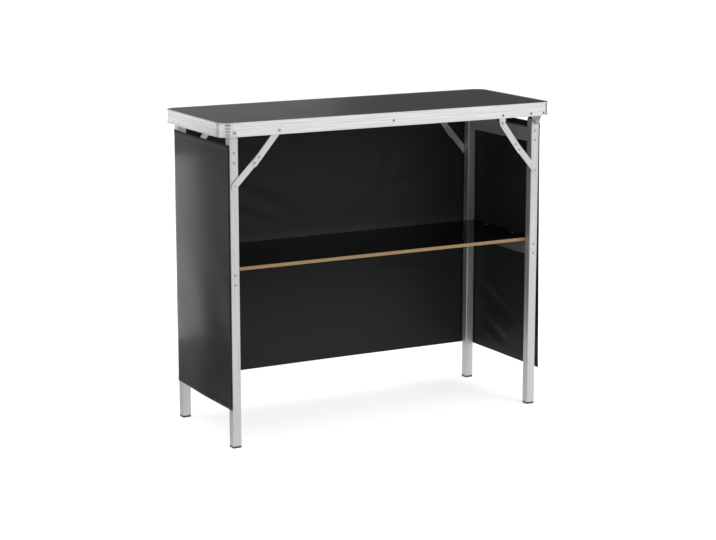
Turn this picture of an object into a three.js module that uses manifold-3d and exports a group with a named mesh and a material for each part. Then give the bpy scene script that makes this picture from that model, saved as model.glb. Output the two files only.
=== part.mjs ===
// Folding portable bar: a rimmed table top on two leg frames that fold flat under it, held open by
// two-link knee braces, with a lift-out shelf and a three-sided cloth skirt.
// Millimetres, +Z up. The origin is on the floor under the middle of the top, +X runs along the top
// to the right and the user stands at -Y, on the open side.
import * as THREE from "three";
import { mergeVertices } from "three/addons/utils/BufferGeometryUtils.js";
import Module from "manifold-3d";

const wasm = await Module();
wasm.setup();

// Overall size
const LENGTH = 1040;
const DEPTH = 390;
const HEIGHT = 890;

// Fits
const SEAT = 0.3; // between two pieces that bear on each other
const RUNNING = 0.1; // around a pin, for the piece that turns on it
const FOLD_CLEAR = 1; // between a folded leg and what lies above it
const SKIRT_EASE = 0.5; // between the cloth and the frame inside it

// Rim rail, an extrusion that wraps the board
const RAIL_HEIGHT = 38;
const RAIL_WALL = 1.4;
const BEAD_PROUD = 1.8; // how far the edge beads stand out from the grooved face
const BEAD_HEIGHT = 3;
const BEAD_EASE = 0.7; // bevel of the beads
const LIP_REACH = 5; // lip over the board, from the bead's face
const LIP_THICK = 1.2;
const LEDGE_REACH = 13; // ledge under the board, from the bead's face
const LEDGE_THICK = 1.3;
const GROOVE_COUNT = 3;
const GROOVE_WIDTH = 1.4;
const GROOVE_DEPTH = 0.6;
const CORNER_RADIUS = 35;

// Boards
const TOP_THICK = 8.5; // at the edge, under the lip
const FACE_RISE = 0.6; // laminate face that stands up inside the lip
const SHELF_THICK = 9.5;
const SHELF_HEIGHT = 495; // floor to the shelf's face

// Leg frames
const LEG_SIZE = 25;
const LEG_WALL = 1.5;
const LEG_EDGE_RADIUS = 2;
const FOOT_RIM = 5;
const FOOT_SPIGOT = 20;
const PLUG_DEPTH = 26; // leg top's plug, below the hinge
const CROSS_HEIGHT = 40;
const CROSS_WIDTH = 20;
const CROSS_WALL = 1.5;
const CROSS_EDGE_RADIUS = 2;
const CROSS_DROP = 74; // table top to the upper cross tube's top
const BEARER_HEIGHT = 39;
const RIGHT_SETBACK = 9; // the right legs stand further in from their end than the left ones

// Straps and brackets, all of one sheet
const SHEET = 1.5;
const RIVET_ROOM = 1.5; // rivet heads on the legs pass under the braces
const STRAP_WIDTH = 18;
const STRAP_EASE = 2; // corners of a strap's square end
const KNEE_OVERLAP = 27; // the outer strap runs on past the knee, to a square end
const KNEE_HOLE_RADIUS = 2.5;
const KNEE_BOW = 3.5; // the open brace is bent this far past its straight line
const LEG_BRACKET_REACH = 20; // inboard from the hinge, along the rail
const BRACE_BRACKET_REACH = 11; // either way from the brace's pivot
const BRACKET_TIP_RADIUS = 9;
const STIFFENER_WIDTH = 30;
const STIFFENER_RIB = 10;
const STIFFENER_FLANGE = 18;

// Brace pivots, measured from the hinge of their leg
const LEFT_RAIL_ARM = 130;
const LEFT_LEG_ARM = 142;
const RIGHT_RAIL_ARM = 115;
const RIGHT_LEG_ARM = 141;

// Pins
const HINGE_PIN_RADIUS = 3.5;
const BRACE_PIN_RADIUS = 3;
const PIN_HEAD_MARGIN = 1.5; // head and collar past the shank
const PIN_HEAD_THICK = 1.3;
const NUT_THICK = 4;

// Skirt
const SKIRT_THICK = 1;
const SKIRT_DROP = 60; // table top to the skirt's upper edge
const SKIRT_HEM = 107; // floor to the skirt's lower edge
const SKIRT_CORNER_RADIUS = 8;

// Facets of round pieces
const PIN_SEGMENTS = 16;
const EDGE_SEGMENTS = 2; // curve steps of eased edges
const ROUND_SEGMENTS = 6; // curve steps of round outlines
const CORNER_SEGMENTS = 10; // curve steps of the rim's corners
const WELD = 1e-4;

// Levels that follow from the rim
const railBottom = HEIGHT - RAIL_HEIGHT;
const boardTop = HEIGHT - LIP_THICK - SEAT;
const boardBottom = boardTop - TOP_THICK;
const faceTop = boardTop + FACE_RISE;
const ledgeTop = boardBottom - SEAT;
const ledgeBottom = ledgeTop - LEDGE_THICK;
const stiffenerTop = ledgeBottom - SEAT;
const stiffenerBottom = stiffenerTop - SHEET;

// The left frame folds first, right under the stiffener, and the right frame folds over it
const leftHingeZ = stiffenerBottom - FOLD_CLEAR - LEG_SIZE / 2;
const rightHingeZ = leftHingeZ - LEG_SIZE - FOLD_CLEAR;

// Layers from the rail's wall inwards, as distances from the middle of the top
const wallOuter = DEPTH / 2 - BEAD_PROUD;
const wallInner = wallOuter - RAIL_WALL;
const bracketOuter = wallInner - SEAT;
const bracketInner = bracketOuter - SHEET;
const upperStrapOuter = bracketInner - SEAT;
const upperStrapInner = upperStrapOuter - SHEET;
const lowerStrapOuter = upperStrapInner - SEAT;
const lowerStrapInner = lowerStrapOuter - SHEET;
const legOuter = lowerStrapInner - RIVET_ROOM;
const legInner = legOuter - LEG_SIZE;
const legMiddle = legOuter - LEG_SIZE / 2;

// The left hinge bolts go through the straight rails near their ends, with room there for the bolt heads,
// and the right hinges hang further in, on brackets
const boltRoom = HINGE_PIN_RADIUS + PIN_HEAD_MARGIN + SEAT + RAIL_WALL;
const leftHingeX = CORNER_RADIUS + boltRoom - LENGTH / 2;
const rightHingeX = -leftHingeX - RIGHT_SETBACK;
const bracketEnd = LENGTH / 2 - CORNER_RADIUS - SEAT;
const leftSide = leftHingeX - LEG_SIZE / 2;
const rightSide = rightHingeX + LEG_SIZE / 2;
const crossHalf = legInner - SEAT;

// The two leg frames: which way the end lies, the hinge, and the brace's arms
const FRAMES = [
  {
    name: "left",
    end: -1,
    hingeX: leftHingeX,
    hingeZ: leftHingeZ,
    railArm: LEFT_RAIL_ARM,
    legArm: LEFT_LEG_ARM,
    dropped: false,
  },
  {
    name: "right",
    end: 1,
    hingeX: rightHingeX,
    hingeZ: rightHingeZ,
    railArm: RIGHT_RAIL_ARM,
    legArm: RIGHT_LEG_ARM,
    dropped: true,
  },
];
const SIDES = [
  { name: "front", out: -1 },
  { name: "back", out: 1 },
];

const ALUMINIUM = { color: 0xc8cacc, roughness: 0.38, metalness: 0.9 };
const BLACK_LAMINATE = { color: 0x1b1b1d, roughness: 0.45, metalness: 0 };
const GLOSS_LAMINATE = { color: 0x0c0c0d, roughness: 0.15, metalness: 0 };
const ZINC_STEEL = { color: 0xb9bcbf, roughness: 0.32, metalness: 1 };
const BLACK_PLASTIC = { color: 0x17181a, roughness: 0.55, metalness: 0 };
const BLACK_CLOTH = { color: 0x0d0d0e, roughness: 0.95, metalness: 0 };

// A closed geometry as a solid that can be cut and joined
function solidOf(geometry) {
  const bare = geometry.index ? geometry.toNonIndexed() : geometry.clone();
  bare.deleteAttribute("normal");
  bare.deleteAttribute("uv");
  const merged = mergeVertices(bare, WELD);
  const corners = merged.index.array;
  const kept = [];
  for (let i = 0; i < corners.length; i += 3) {
    const [a, b, c] = corners.slice(i, i + 3);
    if (a !== b && b !== c && c !== a) {
      kept.push(a, b, c);
    }
  }
  const vertProperties = new Float32Array(merged.attributes.position.array);
  const triVerts = new Uint32Array(kept);
  return new wasm.Manifold(new wasm.Mesh({ numProp: 3, vertProperties, triVerts }));
}

function geometryOf(solid) {
  const { vertProperties, triVerts } = solid.getMesh();
  const geometry = new THREE.BufferGeometry();
  geometry.setAttribute("position", new THREE.BufferAttribute(vertProperties, 3));
  geometry.setIndex(new THREE.BufferAttribute(triVerts, 1));
  const flat = geometry.toNonIndexed();
  flat.computeVertexNormals();
  return flat;
}

function addPiece(group, name, shape, material) {
  const geometry = shape.isBufferGeometry ? shape : geometryOf(shape);
  const piece = new THREE.Mesh(geometry, new THREE.MeshStandardMaterial(material));
  piece.name = name;
  group.add(piece);
}

// Walks a rounded rectangle's outline, anticlockwise about its middle
function traceRounded(path, width, height, radius) {
  const x = width / 2 - radius;
  const y = height / 2 - radius;
  path.moveTo(-x, -y - radius);
  path.lineTo(x, -y - radius);
  path.absarc(x, -y, radius, -Math.PI / 2, 0, false);
  path.lineTo(x + radius, y);
  path.absarc(x, y, radius, 0, Math.PI / 2, false);
  path.lineTo(-x, y + radius);
  path.absarc(-x, y, radius, Math.PI / 2, Math.PI, false);
  path.lineTo(-x - radius, -y);
  path.absarc(-x, -y, radius, Math.PI, Math.PI * 1.5, false);
  return path;
}

function roundedRectangle(width, height, radius) {
  return traceRounded(new THREE.Shape(), width, height, radius);
}

function tubeSection(width, height, wall, radius) {
  const section = roundedRectangle(width, height, radius);
  const boreRadius = Math.max(radius - wall, wall / 2);
  section.holes.push(traceRounded(new THREE.Path(), width - 2 * wall, height - 2 * wall, boreRadius));
  return section;
}

function extrudeUp(shape, bottom, top, curveSegments = EDGE_SEGMENTS) {
  const options = { depth: top - bottom, bevelEnabled: false, curveSegments };
  return new THREE.ExtrudeGeometry(shape, options).translate(0, 0, bottom);
}

// A shape drawn in X and Z, filling the layer between two distances along Y
function extrudeAcross(shape, from, to, curveSegments = ROUND_SEGMENTS) {
  const options = { depth: Math.abs(to - from), bevelEnabled: false, curveSegments };
  const geometry = new THREE.ExtrudeGeometry(shape, options).rotateX(Math.PI / 2);
  return geometry.translate(0, Math.max(from, to), 0);
}

function cylinderAcross(radius, x, z, from, to) {
  const geometry = new THREE.CylinderGeometry(radius, radius, Math.abs(to - from), PIN_SEGMENTS);
  return geometry.translate(x, (from + to) / 2, z);
}

// A turned pin along Y: each step is a radius and the distance from the middle that it runs out to,
// and a step that the one before it already covers falls away
function turnedPin(start, steps, x, z, out) {
  const points = [new THREE.Vector2(0, start)];
  let reached = start;
  for (const { radius, to } of steps) {
    if (to > reached) {
      points.push(new THREE.Vector2(radius, reached), new THREE.Vector2(radius, to));
      reached = to;
    }
  }
  points.push(new THREE.Vector2(0, reached));
  const geometry = new THREE.LatheGeometry(points, PIN_SEGMENTS);
  if (out < 0) {
    geometry.rotateX(Math.PI);
  }
  return solidOf(geometry.translate(x, 0, z));
}

// Section of the rim, as distance out from the bead's face (so never above zero) and level
function railSection() {
  const wall = -BEAD_PROUD;
  const inner = wall - RAIL_WALL;
  const lowerBead = railBottom + BEAD_HEIGHT;
  const upperBead = HEIGHT - BEAD_HEIGHT;
  const points = [
    [inner, railBottom],
    [-BEAD_EASE, railBottom],
    [0, railBottom + BEAD_EASE],
    [0, lowerBead - BEAD_EASE],
    [wall, lowerBead],
  ];
  const pitch = (upperBead - lowerBead) / (GROOVE_COUNT + 1);
  for (let i = 1; i <= GROOVE_COUNT; i += 1) {
    const middle = lowerBead + i * pitch;
    points.push(
      [wall, middle - GROOVE_WIDTH / 2],
      [wall - GROOVE_DEPTH, middle],
      [wall, middle + GROOVE_WIDTH / 2],
    );
  }
  points.push(
    [wall, upperBead],
    [0, upperBead + BEAD_EASE],
    [0, HEIGHT - BEAD_EASE],
    [-BEAD_EASE, HEIGHT],
    [-LIP_REACH, HEIGHT],
    [-LIP_REACH, HEIGHT - LIP_THICK],
    [inner, HEIGHT - LIP_THICK],
    [inner, ledgeTop],
    [-LEDGE_REACH, ledgeTop],
    [-LEDGE_REACH, ledgeBottom],
    [inner, ledgeBottom],
  );
  return points.map(([out, level]) => new THREE.Vector2(out, level));
}

// A straight length of rim along X whose beads face +Y at the given distance
function straightRail(length, distance) {
  const options = { depth: length, bevelEnabled: false };
  const geometry = new THREE.ExtrudeGeometry(new THREE.Shape(railSection()), options);
  const alongX = new THREE.Matrix4().makeBasis(
    new THREE.Vector3(0, 1, 0),
    new THREE.Vector3(0, 0, 1),
    new THREE.Vector3(1, 0, 0),
  );
  return geometry.applyMatrix4(alongX).translate(-length / 2, distance, 0);
}

// A quarter turn of the rim for the corner towards +X and +Y, about its own centre
function cornerRail() {
  const section = railSection().map((point) => new THREE.Vector2(CORNER_RADIUS + point.x, point.y));
  section.push(section[0].clone());
  const ring = new THREE.LatheGeometry(section, 4 * CORNER_SEGMENTS).rotateX(Math.PI / 2);
  const reach = 2 * CORNER_RADIUS;
  const quarter = new THREE.BoxGeometry(reach, reach, 3 * HEIGHT);
  quarter.translate(SEAT + reach / 2, SEAT + reach / 2, 0);
  return solidOf(ring).intersect(solidOf(quarter));
}

// What a bolt takes out of the rail: its hole, and room for its head between the beads
function boltSeat(shank, x, out) {
  const hole = cylinderAcross(shank + SEAT, x, leftHingeZ, out * legOuter, out * DEPTH);
  const headRadius = shank + PIN_HEAD_MARGIN + SEAT;
  const head = cylinderAcross(headRadius, x, leftHingeZ, out * wallOuter, out * DEPTH);
  return solidOf(hole).add(solidOf(head));
}

// A board that keeps the same distance inside the rim all round
function insetBoard(inset, bottom, top) {
  const outline = roundedRectangle(LENGTH - 2 * inset, DEPTH - 2 * inset, CORNER_RADIUS - inset);
  return solidOf(extrudeUp(outline, bottom, top, CORNER_SEGMENTS));
}

function addTop(group) {
  const board = insetBoard(BEAD_PROUD + RAIL_WALL + SEAT, boardBottom, boardTop);
  const face = insetBoard(LIP_REACH + SEAT, boardBottom + TOP_THICK / 2, faceTop);
  addPiece(group, "table_top", board.add(face), BLACK_LAMINATE);

  const longRail = LENGTH - 2 * CORNER_RADIUS;
  const endRail = DEPTH - 2 * CORNER_RADIUS;
  for (const { name, out } of SIDES) {
    const blank = straightRail(longRail, DEPTH / 2).rotateZ(out > 0 ? 0 : Math.PI);
    const hingeSeat = boltSeat(HINGE_PIN_RADIUS, leftHingeX, out);
    const braceSeat = boltSeat(BRACE_PIN_RADIUS, leftHingeX + LEFT_RAIL_ARM, out);
    const rail = solidOf(blank).subtract(hingeSeat).subtract(braceSeat);
    addPiece(group, `rail_${name}`, rail, ALUMINIUM);
  }
  for (const { name, end } of FRAMES) {
    const rail = straightRail(endRail, LENGTH / 2).rotateZ((-end * Math.PI) / 2);
    addPiece(group, `rail_${name}`, rail, ALUMINIUM);
  }
  const corner = cornerRail();
  for (const frame of FRAMES) {
    for (const side of SIDES) {
      const quarterTurns = side.out > 0 ? (1 - frame.end) / 2 : (5 + frame.end) / 2;
      const placed = corner
        .rotate([0, 0, 90 * quarterTurns])
        .translate([frame.end * (LENGTH / 2 - CORNER_RADIUS), side.out * (DEPTH / 2 - CORNER_RADIUS), 0]);
      addPiece(group, `rail_corner_${side.name}_${frame.name}`, placed, ALUMINIUM);
    }
  }
}

// Strap under the middle of the board, ribbed between the legs' paths and turned down on to the rails
function addStiffener(group) {
  const strap = new THREE.BoxGeometry(STIFFENER_WIDTH, 2 * bracketOuter, SHEET);
  let stiffener = solidOf(strap.translate(0, 0, stiffenerTop - SHEET / 2));
  const ribLength = 2 * (legInner - FOLD_CLEAR);
  for (const edge of [-1, 1]) {
    const rib = new THREE.BoxGeometry(SHEET, ribLength, STIFFENER_RIB);
    rib.translate(edge * (STIFFENER_WIDTH / 2 - SHEET / 2), 0, stiffenerTop - STIFFENER_RIB / 2);
    const flange = new THREE.BoxGeometry(STIFFENER_WIDTH, SHEET, STIFFENER_FLANGE);
    flange.translate(0, edge * (bracketOuter - SHEET / 2), stiffenerTop - STIFFENER_FLANGE / 2);
    stiffener = stiffener.add(solidOf(rib)).add(solidOf(flange));
  }
  addPiece(group, "centre_stiffener", stiffener, ZINC_STEEL);
}

// A plate inside the rail that narrows below it to a round tip about a pivot, with its own reach each way
function dropBracket(x, pivotZ, leftReach, rightReach, holeRadius, out) {
  const rise = railBottom - pivotZ;
  const tangent = (reach) => {
    const slope = Math.atan2(rise, reach);
    return slope - Math.acos(BRACKET_TIP_RADIUS / Math.hypot(reach, rise));
  };
  const plate = new THREE.Shape();
  plate.moveTo(x + rightReach, railBottom);
  plate.lineTo(x + rightReach, stiffenerTop);
  plate.lineTo(x - leftReach, stiffenerTop);
  plate.lineTo(x - leftReach, railBottom);
  const start = Math.PI - tangent(leftReach);
  const end = 2 * Math.PI + tangent(rightReach);
  plate.absarc(x, pivotZ, BRACKET_TIP_RADIUS, start, end, false);
  plate.closePath();
  const hole = cylinderAcross(holeRadius, x, pivotZ, 0, out * DEPTH);
  return solidOf(extrudeAcross(plate, out * bracketInner, out * bracketOuter)).subtract(solidOf(hole));
}

// Hinge bolt: head outside what carries it, collar up to the leg, and a nut inside the leg
function hingePin(frame, out) {
  const carrierInner = frame.dropped ? bracketInner : wallInner;
  const carrierOuter = frame.dropped ? bracketOuter : wallOuter;
  const broad = HINGE_PIN_RADIUS + PIN_HEAD_MARGIN;
  const head = carrierOuter + SEAT;
  const nut = legInner - SEAT;
  const steps = [
    { radius: broad, to: nut },
    { radius: HINGE_PIN_RADIUS, to: legOuter + SEAT },
    { radius: broad, to: carrierInner - SEAT },
    { radius: HINGE_PIN_RADIUS, to: head },
    { radius: broad, to: head + PIN_HEAD_THICK },
  ];
  return turnedPin(nut - NUT_THICK, steps, frame.hingeX, frame.hingeZ, out);
}

// Brace pivot on the rail side, set flush with the strap's inner face so that the other strap passes it
function railPin(frame, x, out) {
  const carrierInner = frame.dropped ? bracketInner : wallInner;
  const carrierOuter = frame.dropped ? bracketOuter : wallOuter;
  const broad = BRACE_PIN_RADIUS + PIN_HEAD_MARGIN;
  const head = carrierOuter + SEAT;
  const steps = [
    { radius: BRACE_PIN_RADIUS, to: upperStrapOuter + SEAT },
    { radius: broad, to: carrierInner - SEAT },
    { radius: BRACE_PIN_RADIUS, to: head },
    { radius: broad, to: head + PIN_HEAD_THICK },
  ];
  return turnedPin(upperStrapInner, steps, x, frame.hingeZ, out);
}

// Brace pivot on the leg, headed inside the tube and flush with the strap's outer face
function legPin(x, z, out) {
  const broad = BRACE_PIN_RADIUS + PIN_HEAD_MARGIN;
  const head = legOuter - LEG_WALL - SEAT;
  const steps = [
    { radius: broad, to: head },
    { radius: BRACE_PIN_RADIUS, to: legOuter + SEAT },
    { radius: broad, to: lowerStrapInner - SEAT },
    { radius: BRACE_PIN_RADIUS, to: lowerStrapOuter },
  ];
  return turnedPin(head - PIN_HEAD_THICK, steps, x, z, out);
}

// Where an open brace's knee lies: the straps differ in length by as much as the two arms do, so that
// they close flat on each other when the leg is folded, and the bow sets their lengths
function braceKnee(frame) {
  const inward = -frame.end;
  const rail = new THREE.Vector2(frame.hingeX + inward * frame.railArm, frame.hingeZ);
  const leg = new THREE.Vector2(frame.hingeX, frame.hingeZ - frame.legArm);
  const chord = rail.distanceTo(leg);
  const excess = frame.legArm - frame.railArm;
  const total = chord * Math.sqrt(1 + (4 * KNEE_BOW ** 2) / (chord ** 2 - excess ** 2));
  const along = (chord ** 2 - excess * total) / (2 * chord);
  const line = leg.clone().sub(rail).normalize();
  const away = new THREE.Vector2(inward * Math.abs(line.y), -Math.abs(line.x));
  const knee = rail.clone().addScaledVector(line, along).addScaledVector(away, KNEE_BOW);
  return { rail, leg, knee };
}

// Strap from a pivot's round end to the knee: it ends there, round, or runs on past it to a square end
function strap(pivot, knee, overlap, from, to) {
  const line = knee.clone().sub(pivot);
  const angle = line.angle();
  line.normalize();
  const radius = STRAP_WIDTH / 2;
  const ease = overlap > 0 ? STRAP_EASE : radius;
  const tip = knee.clone().addScaledVector(line, Math.max(overlap - ease, 0));
  const aside = new THREE.Vector2(-line.y, line.x).multiplyScalar(radius - ease);
  const outline = new THREE.Shape();
  outline.absarc(pivot.x, pivot.y, radius, angle + Math.PI / 2, angle + Math.PI * 1.5, false);
  outline.absarc(tip.x - aside.x, tip.y - aside.y, ease, angle - Math.PI / 2, angle, false);
  outline.absarc(tip.x + aside.x, tip.y + aside.y, ease, angle, angle + Math.PI / 2, false);
  const blank = solidOf(extrudeAcross(outline, from, to));
  const reach = Math.sign(from) * DEPTH;
  const pivotHole = cylinderAcross(BRACE_PIN_RADIUS + RUNNING, pivot.x, pivot.y, 0, reach);
  const kneeHole = cylinderAcross(KNEE_HOLE_RADIUS, knee.x, knee.y, 0, reach);
  return blank.subtract(solidOf(pivotHole)).subtract(solidOf(kneeHole));
}

function addBraces(group, frame) {
  const { rail, leg, knee } = braceKnee(frame);
  for (const { name, out } of SIDES) {
    const label = `${name}_${frame.name}`;
    const upper = strap(rail, knee, KNEE_OVERLAP, out * upperStrapInner, out * upperStrapOuter);
    const lower = strap(leg, knee, 0, out * lowerStrapInner, out * lowerStrapOuter);
    addPiece(group, `brace_upper_${label}`, upper, ALUMINIUM);
    addPiece(group, `brace_lower_${label}`, lower, ALUMINIUM);
    addPiece(group, `brace_rail_pin_${label}`, railPin(frame, rail.x, out), ZINC_STEEL);
    addPiece(group, `brace_leg_pin_${label}`, legPin(leg.x, leg.y, out), ZINC_STEEL);
    if (frame.dropped) {
      const hole = BRACE_PIN_RADIUS + SEAT;
      const bracket = dropBracket(rail.x, frame.hingeZ, BRACE_BRACKET_REACH, BRACE_BRACKET_REACH, hole, out);
      addPiece(group, `brace_bracket_${label}`, bracket, ALUMINIUM);
    }
  }
}

// The leg's outline from the side, round about the hinge so that it turns inside the rim
function legOutline(x, hingeZ, bottom) {
  const half = LEG_SIZE / 2;
  const outline = new THREE.Shape();
  outline.moveTo(x - half, bottom);
  outline.lineTo(x + half, bottom);
  outline.absarc(x, hingeZ, half, 0, Math.PI, false);
  outline.closePath();
  return outline;
}

function addLegs(group, frame) {
  const x = frame.hingeX;
  const legBottom = FOOT_RIM + SEAT;
  const legTop = frame.hingeZ + LEG_SIZE;
  const inside = LEG_SIZE - 2 * LEG_WALL - 2 * SEAT;
  for (const { name, out } of SIDES) {
    const label = `${name}_${frame.name}`;
    const y = out * legMiddle;
    const outline = solidOf(extrudeAcross(legOutline(x, frame.hingeZ, 0), 0, out * DEPTH));
    const hingeHole = solidOf(cylinderAcross(HINGE_PIN_RADIUS + RUNNING, x, frame.hingeZ, 0, out * DEPTH));
    const braceZ = frame.hingeZ - frame.legArm;
    const braceHole = solidOf(cylinderAcross(BRACE_PIN_RADIUS + SEAT, x, braceZ, y, out * DEPTH));

    const section = tubeSection(LEG_SIZE, LEG_SIZE, LEG_WALL, LEG_EDGE_RADIUS);
    const tube = solidOf(extrudeUp(section, legBottom, legTop).translate(x, y, 0));
    const leg = tube.intersect(outline).subtract(hingeHole).subtract(braceHole);
    addPiece(group, `leg_${label}`, leg, ALUMINIUM);

    const core = roundedRectangle(inside, inside, LEG_EDGE_RADIUS);
    const plugBlank = extrudeUp(core, frame.hingeZ - PLUG_DEPTH, legTop).translate(x, y, 0);
    const plug = solidOf(plugBlank).intersect(outline).subtract(hingeHole);
    addPiece(group, `leg_plug_${label}`, plug, BLACK_PLASTIC);

    const rim = extrudeUp(roundedRectangle(LEG_SIZE, LEG_SIZE, LEG_EDGE_RADIUS), 0, FOOT_RIM);
    const spigot = extrudeUp(core, FOOT_RIM / 2, FOOT_RIM + FOOT_SPIGOT);
    const foot = solidOf(rim.translate(x, y, 0)).add(solidOf(spigot.translate(x, y, 0)));
    addPiece(group, `foot_${label}`, foot, BLACK_PLASTIC);

    addPiece(group, `hinge_pin_${label}`, hingePin(frame, out), ZINC_STEEL);
    if (frame.dropped) {
      const hole = HINGE_PIN_RADIUS + SEAT;
      const bracket = dropBracket(x, frame.hingeZ, LEG_BRACKET_REACH, bracketEnd - x, hole, out);
      addPiece(group, `leg_bracket_${label}`, bracket, ALUMINIUM);
    }
  }
  const crossTop = HEIGHT - CROSS_DROP;
  addPiece(group, `cross_tube_${frame.name}`, crossTube(x, CROSS_HEIGHT, crossTop), ALUMINIUM);
}

// Flat tube from the front leg to the back leg, open at its ends
function crossTube(x, height, top) {
  const section = tubeSection(CROSS_WIDTH, height, CROSS_WALL, CROSS_EDGE_RADIUS);
  return extrudeAcross(section, -crossHalf, crossHalf, EDGE_SEGMENTS).translate(x, 0, top - height / 2);
}

// The shelf and its two bearers lift out together from between the legs
function addShelf(group) {
  const top = SHELF_HEIGHT;
  const outline = roundedRectangle(rightSide - leftSide, 2 * crossHalf, LEG_EDGE_RADIUS);
  const board = extrudeUp(outline, top - SHELF_THICK, top).translate((leftSide + rightSide) / 2, 0, 0);
  addPiece(group, "shelf", board, GLOSS_LAMINATE);
  for (const { name, hingeX } of FRAMES) {
    const bearer = crossTube(hingeX, BEARER_HEIGHT, top - SHELF_THICK - SEAT);
    addPiece(group, `shelf_bearer_${name}`, bearer, ALUMINIUM);
  }
}

// Cloth round three sides, outside the legs and the brace pins
function addSkirt(group) {
  const left = leftSide - SKIRT_EASE;
  const right = rightSide + SKIRT_EASE;
  const front = -legOuter;
  const radius = SKIRT_CORNER_RADIUS;
  const outer = radius + SKIRT_THICK;
  const back = bracketOuter + SEAT + PIN_HEAD_THICK + SKIRT_EASE - radius;
  const plan = new THREE.Shape();
  plan.moveTo(right, front);
  plan.lineTo(right + SKIRT_THICK, front);
  plan.absarc(right - radius, back, outer, 0, Math.PI / 2, false);
  plan.absarc(left + radius, back, outer, Math.PI / 2, Math.PI, false);
  plan.lineTo(left - SKIRT_THICK, front);
  plan.lineTo(left, front);
  plan.absarc(left + radius, back, radius, Math.PI, Math.PI / 2, true);
  plan.absarc(right - radius, back, radius, Math.PI / 2, 0, true);
  plan.closePath();
  addPiece(group, "skirt", extrudeUp(plan, SKIRT_HEM, HEIGHT - SKIRT_DROP), BLACK_CLOTH);
}

const bar = new THREE.Group();
addTop(bar);
addStiffener(bar);
for (const frame of FRAMES) {
  addLegs(bar, frame);
  addBraces(bar, frame);
}
addShelf(bar);
addSkirt(bar);

export default bar;
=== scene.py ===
"""Folding portable bar: finishes, small hardware and cloth around its CAD frame."""

import math

import bpy
from bpy.props import FloatProperty, FloatVectorProperty, PointerProperty
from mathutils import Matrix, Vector, noise


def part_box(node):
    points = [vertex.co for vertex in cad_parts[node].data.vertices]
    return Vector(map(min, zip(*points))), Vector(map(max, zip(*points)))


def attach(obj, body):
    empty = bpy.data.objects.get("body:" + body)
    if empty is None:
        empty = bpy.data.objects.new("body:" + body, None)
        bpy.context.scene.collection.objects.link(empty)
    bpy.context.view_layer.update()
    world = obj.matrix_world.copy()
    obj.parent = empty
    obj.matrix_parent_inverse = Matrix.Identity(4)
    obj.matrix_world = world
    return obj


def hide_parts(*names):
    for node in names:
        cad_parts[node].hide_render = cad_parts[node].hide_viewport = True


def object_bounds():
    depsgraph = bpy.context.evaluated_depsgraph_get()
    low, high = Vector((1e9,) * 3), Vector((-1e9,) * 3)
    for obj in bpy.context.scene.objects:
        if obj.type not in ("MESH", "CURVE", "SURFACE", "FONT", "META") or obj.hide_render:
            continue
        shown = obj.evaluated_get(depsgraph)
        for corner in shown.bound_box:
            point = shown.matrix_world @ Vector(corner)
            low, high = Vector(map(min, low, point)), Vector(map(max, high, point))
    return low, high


bl_info = {
    "name": "Folding Portable Bar",
    "version": (1, 0, 0),
    "blender": (4, 5, 0),
    "location": "3D View > Sidebar > Bar",
    "description": "Finishes, hardware and cloth of a folding portable bar around its CAD frame",
    "category": "Object",
}

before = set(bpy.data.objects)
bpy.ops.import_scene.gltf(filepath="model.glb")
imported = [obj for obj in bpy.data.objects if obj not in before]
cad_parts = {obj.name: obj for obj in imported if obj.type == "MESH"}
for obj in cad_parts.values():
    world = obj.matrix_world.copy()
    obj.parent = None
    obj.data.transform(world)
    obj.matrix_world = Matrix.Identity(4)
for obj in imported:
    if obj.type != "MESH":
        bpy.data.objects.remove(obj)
CAD_BOX = [list(corner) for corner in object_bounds()]
MM = 0.001
IMAGE_WIDTH = 716
SENSOR_WIDTH = 36.0

SIDES = {"front": -1, "back": 1}
ENDS = {"left": -1, "right": 1}
LEGS = [f"{side}_{end}" for end in ENDS for side in SIDES]
ALONG_X, ALONG_Y, ALONG_Z = (1, 0, 0), (0, 1, 0), (0, 0, 1)
WHITE = (1.0, 1.0, 1.0, 1.0)
BLACK = (0.0, 0.0, 0.0, 1.0)
BOX_FACES = ((0, 1, 3, 2), (4, 6, 7, 5), (0, 4, 5, 1), (2, 3, 7, 6), (0, 2, 6, 4), (1, 5, 7, 3))


def linear(code):
    """Linear RGBA of an sRGB hex colour."""
    shares = [int(code[i : i + 2], 16) / 255 for i in (1, 3, 5)]
    levels = [c / 12.92 if c <= 0.04045 else ((c + 0.055) / 1.055) ** 2.4 for c in shares]
    return (*levels, 1.0)


def darker(shade, share):
    """A colour with a share of its light."""
    return (*(c * share for c in shade[:3]), 1.0)


def spaced(start, stop, steps):
    """Evenly spaced values from start to stop."""
    return [start + (stop - start) * i / steps for i in range(steps + 1)]


def number(name, description, default, **kind):
    """A plain number property."""
    return FloatProperty(name=name, description=description, default=default, **kind)


def length(name, description, default):
    """A length property in metres, given in millimetres."""
    return number(name, description, default * MM, unit="LENGTH", precision=5)


def colour(name, description, code):
    """A colour property, given as sRGB hex."""
    return FloatVectorProperty(
        name=name, description=description, default=linear(code), subtype="COLOR", size=4, min=0, max=1
    )


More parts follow.
